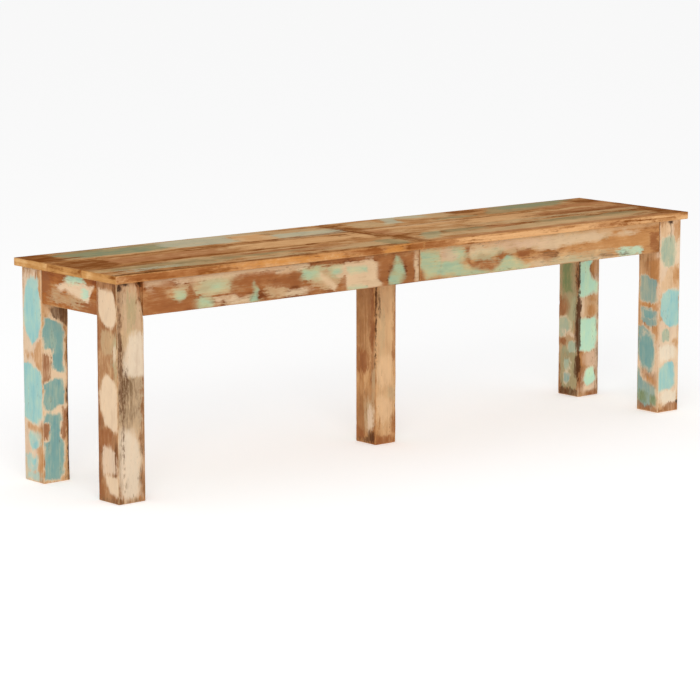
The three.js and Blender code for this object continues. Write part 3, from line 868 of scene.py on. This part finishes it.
PAINT["apron_front_left", "front"] = [
    ("tanwash",
     [(85, 58), (216, 60), (216, 34), (150, 24), (110, 40), (98, 16), (84, 20), (76, 34), (46, 42)],
     [(400, 56), (525, 58), (520, 26), (495, 10), (465, 10), (420, 30)],
     (340, 18, 30, 14), (245, 8, 50, 8)),
    ("greenwash",
     (180, 46, 60, 16), (92, 34, 18, 14), (150, 14, 26, 14), (430, 44, 34, 14), (500, 44, 22, 12)),
    ("band",
     [(4, 73), (420, 73), (420, 64), (400, 56), (230, 58), (100, 56), (10, 58)],
     [(200, 18), (232, 22), (272, 12), (268, 0), (225, 0), (200, 6)],
     (190, 12, 16, 9), (392, 12, 28, 8), (22, 46, 10, 5, -50), (560, 30, 50, 30)),
    ("redbrown",
     [(218, 50), (240, 60), (326, 58), (336, 46), (296, 36), (290, 20), (240, 14), (220, 30)],
     (68, 60, 19, 6), (120, 40, 8, 18), (60, 12, 66, 12), (360, 36, 40, 12), (30, 30, 28, 20)),
    ("bone",
     [(518, 61), (590, 62), (604, 46), (608, 20), (622, 4), (606, -2), (526, -2), (518, 30)],
     [(486, 52), (525, 56), (525, 24), (496, 34)],
     [(440, 40), (456, 44), (500, 14), (490, 4)],
     (716, 30, 7, 34)),
    ("brown",
     [(493, 0), (506, 31), (518, 33), (524, 0)],
     [(606, 64), (652, 64), (638, 36), (630, -2), (622, 0), (608, 20)],
     [(686, 64), (710, 64), (707, -2), (682, 0), (688, 30)]),
    ("mint",
     [(80, 40), (104, 38), (104, 26), (90, 22), (80, 32)],
     [(140, 26), (160, 25), (178, 12), (164, 2), (138, 2), (136, 14)],
     [(279, 42), (286, 30), (291, 2), (268, -2), (266, 8), (276, 18)],
     [(404, 54), (446, 54), (450, 38), (420, 34), (403, 42)],
     [(526, 49), (576, 49), (580, 37), (535, 35), (524, 42)],
     [(528, 6), (562, 7), (578, 3), (570, -3), (530, -3)],
     [(658, 62), (668, 58), (682, 30), (682, 12), (670, 0), (640, 0), (634, 14), (648, 36)],
     (494, 45, 14, 7), (182, 42, 14, 6)),
]
PAINT["apron_front_right", "front"] = [
    ("orange", (520, 50, 220, 16), (640, 34, 80, 14)),
    ("tanwash",
     [(140, 64), (290, 66), (290, 40), (214, 40), (170, 34), (140, 42)],
     [(280, 66), (580, 66), (560, 44), (400, 40), (282, 44)],
     (430, 10, 160, 10)),
    ("band",
     [(280, 66), (560, 66), (530, 46), (460, 44), (390, 40), (360, 46), (280, 56)],
     (620, 56, 32, 6), (180, 52, 44, 7)),
    ("buff", (400, 68, 400, 6)),
    ("bone", (440, 54, 110, 9), (380, 46, 40, 10), (505, 50, 30, 9), (350, 8, 30, 5)),
    ("pink", (500, 4, 70, 5), (300, 58, 60, 8)),
    ("redbrown",
     [(0, 26), (10, 24), (14, 10), (8, -2), (-2, -2)],
     [(130, 64), (143, 64), (139, 42), (152, 30), (172, 38), (200, 40), (215, 30), (226, 42), (240, 44),
      (244, 32), (226, 16), (206, 8), (180, 8), (150, 14), (128, 34)],
     [(282, 44), (322, 42), (326, 28), (300, 20), (284, 24)],
     [(330, 22), (398, 32), (404, 16), (376, 12)],
     (706, 26, 16, 24), (90, 1, 60, 4)),
    ("greenwash", (190, 42, 40, 12), (94, 40, 36, 24), (455, 6, 50, 6)),
    ("mint",
     [(1, 64), (60, 64), (62, 10), (20, 5), (12, 14), (4, 32)],
     [(58, 34), (112, 36), (132, 22), (206, 4), (204, -3), (100, 4), (58, 8)],
     [(252, 36), (264, 36), (280, 22), (300, 12), (318, 8), (312, -2), (210, -3), (206, 4), (222, 14)],
     (100, 50, 26, 12)),
    ("pink", (80, 51, 22, 12)),
    ("palemint", [(586, 14), (606, 21), (655, 21), (674, 13), (664, 1), (606, 1)]),
    ("grime", (560, 6, 60, 7), (380, 20, 40, 10)),
]
PAINT["apron_end_left", "left"] = [
    ("redbrown", (10, 50, 20, 24), (180, 12, 40, 16)),
    ("tanwash", [(38, 34), (60, 38), (68, 18), (52, 6), (38, 22)], (96, 18, 44, 8)),
    ("cream",
     [(52, 42), (84, 58), (182, 58), (172, 38), (160, 27), (120, 27), (84, 37), (66, 37)],
     [(130, 50), (176, 54), (164, 20), (148, 26)]),
    ("palemint", [(76, 58), (95, 69), (142, 70), (158, 58), (110, 54)], (152, 39, 12, 9)),
]
PAINT["seat_plank_front_left", "top"] = [
    ("paleband", (670, 45, 120, 26), (240, 42, 80, 16), (430, 32, 90, 16), (270, 104, 140, 8)),
    ("olive", (220, 78, 200, 20), (170, 46, 110, 14), (440, 70, 90, 12), (752, 44, 30, 40)),
    ("bluegrey", (110, 50, 60, 8), (70, 32, 40, 8)),
    ("rosy", (480, 92, 120, 10), (560, 60, 60, 12)),
    ("darkbrown", (60, 4, 130, 10)),
    ("tobacco", (90, 108, 90, 12), (796, 60, 8, 60), (320, 4, 200, 6)),
]
PAINT["seat_plank_front_left", "front"] = [
    ("redbrown", (110, 8, 130, 14), (640, 8, 50, 14), (780, 8, 30, 14)),
    ("amber", (420, 8, 120, 8), (720, 8, 30, 8)),
]
PAINT["seat_plank_middle_left", "top"] = [
    ("rosy", (230, 50, 170, 36)),
    ("sunlit", (590, 50, 150, 40), (760, 50, 24, 50)),
    ("bluegrey", (690, 113, 90, 8)),
    ("tobacco", (56, 55, 60, 62), (420, 114, 400, 8), (200, 4, 180, 8), (792, 40, 14, 80)),
    ("knot", (720, 66, 4, 3)),
]
PAINT["seat_plank_rear_left", "top"] = [
    ("paleband", (480, 96, 190, 24), (200, 20, 130, 14), (700, 50, 80, 44)),
    ("olive", (220, 68, 150, 48)),
    ("lichen", (220, 56, 140, 34)),
    ("bluegrey", (430, 56, 100, 46), (680, 22, 110, 30), (460, 100, 120, 14)),
    ("sunlit", (560, 40, 50, 50)),
    ("tobacco", (28, 60, 36, 66), (796, 60, 10, 60)),
]
PAINT["seat_plank_front_right", "top"] = [
    ("rosy", (400, 12, 400, 14)),
    ("paleband", (380, 54, 330, 26), (430, 112, 300, 10)),
    ("olive", (200, 96, 80, 20), (510, 92, 100, 18), (660, 86, 70, 24)),
    ("greenwash", [(30, 28), (70, 30), (128, 78), (148, 122), (96, 122), (62, 84)]),
    ("rosy", (310, 94, 50, 16)),
    ("tobacco", (12, 70, 18, 70), (780, 60, 34, 66)),
]
PAINT["seat_plank_front_right", "front"] = [
    ("sunlit", (420, 8, 360, 9)),
    ("redbrown", (30, 8, 60, 12), (560, 8, 60, 6)),
]
PAINT["seat_plank_middle_right", "top"] = [
    ("rosy", (30, 50, 30, 62), (660, 56, 170, 34)),
    ("sunlit", (170, 104, 150, 30), (400, 70, 100, 38)),
    ("paleband", (450, 22, 280, 12)),
    ("peach", (175, 106, 110, 11)),
    ("tobacco", (6, 60, 10, 60), (640, 50, 150, 15), (790, 60, 18, 64), (300, 116, 240, 5)),
]
PAINT["seat_plank_rear_right", "top"] = [
    ("paleband", (90, 50, 50, 44), (280, 88, 90, 30)),
    ("bluegrey", [(128, 36), (170, 32), (216, 118), (176, 118)], (250, 96, 40, 16)),
    ("olive", (330, 30, 60, 16), [(410, 20), (640, 30), (760, 118), (500, 118)]),
    ("lichen", (590, 82, 90, 28), (680, 100, 60, 16)),
    ("tobacco", (400, 92, 40, 24)),
    ("rosy", (700, 20, 120, 22)),
    ("tobacco", (770, 60, 50, 24), (6, 60, 12, 62)),
]

# Faces that no patch above is laid on get seeded ones, in these paints for each kind of board.
TEALS = ("blush", "teal", "brown", "teal")
BANDS = ("tanwash", "band", "redbrown", "mint")
CREAMS = ("tanwash", "cream", "redbrown", "mint")
UNSEEN = {
    "leg": {
        "back": TEALS,
        # On the legs' hidden faces too, greyteal is teal darkened as painted shade, and brightmint is mint
        # lightened as painted light.
        "right": ("cream", "greyteal", "orange", "brightmint"),
        "left": TEALS,
        "front": ("cream", "brightmint", "orange", "teal"),
    },
    "apron": {"back": BANDS, "front": CREAMS, "right": CREAMS, "left": BANDS},
    "seat": {"under": ("paleband", "rosy", "bluegrey")},
}

# ------------------------------------------------------------------------------------------- the boards

# Board: its wood and the tone of its rubbed arrises. The grain runs along its longest side.
RUBBED_SAND = (212, 178, 138)
RUBBED_CREAM = (232, 204, 172)
RUBBED_BROWN = (176, 124, 80)
SEAT_EDGE = (190, 134, 80)
BOARDS = {
    "leg_front_left": ("brown", RUBBED_SAND),
    "leg_front_right": ("tan", RUBBED_CREAM),
    "leg_rear_left": ("tan", RUBBED_CREAM),
    "leg_rear_right": ("brown", RUBBED_CREAM),
    "leg_centre": ("honey", RUBBED_BROWN),
    "apron_front_left": ("redbrown", RUBBED_BROWN),
    "apron_front_right": ("honey", RUBBED_BROWN),
    "apron_rear_left": ("brown", RUBBED_BROWN),
    "apron_rear_right": ("redbrown", RUBBED_BROWN),
    "apron_end_left": ("orange", RUBBED_BROWN),
    "apron_end_right": ("brown", RUBBED_BROWN),
}
for end, row in itertools.product(("left", "right"), ("front", "middle", "rear")):
    BOARDS[f"seat_plank_{row}_{end}"] = ("seat", SEAT_EDGE)
SLOTS = {"leg": "leg_wood", "apron": "apron_wood", "seat": "seat_wood"}
WANES = {
    "leg_front_left": [Wane(1, -1, 365, 500, 17, 0.4)],
    "leg_rear_left": [Wane(1, -1, 0, 330, 4, 1.0)],
    "leg_centre": [Wane(-1, -1, 150, 400, 3.5, 0.5)],
    "leg_rear_right": [Wane(-1, -1, 15, 270, 6, 1.0), Wane(-1, -1, 220, 350, 3.5, 1.0)],
}


def kind_of(name):
    return name.split("_")[0]


def paint_for(name, low, high, seed):
    """A board's listed patches, and seeded ones on its other faces."""
    laid = [(face, paint, patches) for (board, face), entries in PAINT.items() if board == name
            for paint, *patches in entries]
    done = {face for face, _, _ in laid}
    size = (high - low) / MM
    for i, (face, paints) in enumerate(UNSEEN[kind_of(name)].items()):
        right, _, up, facing, _ = FACES[face]
        width, height = size[right], size[up]
        if face in done or size[facing] == size.max() or min(width, height) < NARROW:
            continue
        count = max(PATCHES_LEAST, round(PATCHES_PER_SQUARE * max(width, height) / min(width, height)))
        laid += scatter(face, width, height, paints, count, 100 * seed + i)
    return laid


def build_board(name, wood, rubbed, seed):
    low, high = body_box(name)
    grain = "xyz"[np.argmax(high - low)]
    slot = SLOTS[kind_of(name)]
    wanes = WANES.get(name, ())
    board = worn_board(name + "_board", low, high, grain, seed, wanes=wanes)
    fit_joints(board, name)
    layers = lay_paint(board, low, high, grain, paint_for(name, low, high, seed), seed, wanes)
    centre = (low + high) / 2
    board.data.materials.clear()
    seat = slot == "seat_wood"
    finish = wood_material(name, wood, grain, centre, layers, seed, rubbed, seat, 0.0 if seat else SHEEN)
    board.data.materials.append(finish)
    board.data.shade_smooth()
    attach(board, "root")
    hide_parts(name)


def finish_cad_nodes():
    """Gives the nodes that nothing replaces their materials: the hidden wood and the zinc-plated steel."""
    zinc = zinc_material()
    grains = {"corner_block": "z", "cross_rail": "y", "seat_batten": "y"}
    woods = {
        kind: wood_material(kind, "raw", grain, (0, 0, 0.4), seed=40 + i)
        for i, (kind, grain) in enumerate(grains.items())
    }
    for name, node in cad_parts.items():
        if node.hide_render:
            continue
        finish = next((woods[kind] for kind in woods if name.startswith(kind)), zinc)
        for material_slot in node.material_slots:
            material_slot.material = finish


# ------------------------------------------------------------------------------------- floor and light


FLOOR_GLOW = 0.33             # keeps a studio floor white where the bench shades it
FLOOR_SIZE = 60.0             # metres from its middle to an edge
SKY = 0.65                    # the strength of the white surroundings
KEY_PLACE, KEY_AIM = (-3.4, -4.2, 2.4), (0, 0, 0.3)
KEY_SIZE, KEY_POWER = 3.2, 106        # metres and watts


def add_floor():
    corners = np.array([(-1, -1, 0), (1, -1, 0), (1, 1, 0), (-1, 1, 0)])
    floor = add_mesh("floor", FLOOR_SIZE * corners, np.array([(0, 1, 2, 3)]))
    material, g = start_material("floor")
    white = linear(250, 250, 250)
    glow = {"Emission Color": white, "Emission Strength": FLOOR_GLOW, "Specular IOR Level": 0.0}
    floor.data.materials.append(finish_material(material, g, white, 0.9, 0.0, 0.0001, **glow))


def add_light():
    world = bpy.data.worlds.new("studio")
    world.use_nodes = True
    background = world.node_tree.nodes["Background"]
    background.inputs["Color"].default_value = (1.0, 1.0, 1.0, 1.0)
    background.inputs["Strength"].default_value = SKY
    bpy.context.scene.world = world
    data = bpy.data.lights.new("key", "AREA")
    data.shape = "SQUARE"
    data.size = KEY_SIZE
    data.energy = KEY_POWER
    key = add_object("key", data)
    key.location = KEY_PLACE
    key.rotation_euler = (Vector(KEY_AIM) - Vector(KEY_PLACE)).to_track_quat("-Z", "Y").to_euler()


def main():
    bpy.context.scene.view_settings.view_transform = "Standard"
    add_camera()
    add_floor()
    add_light()
    for seed, (name, (wood, rubbed)) in enumerate(BOARDS.items(), start=1):
        build_board(name, wood, rubbed, seed)
    finish_cad_nodes()


main()
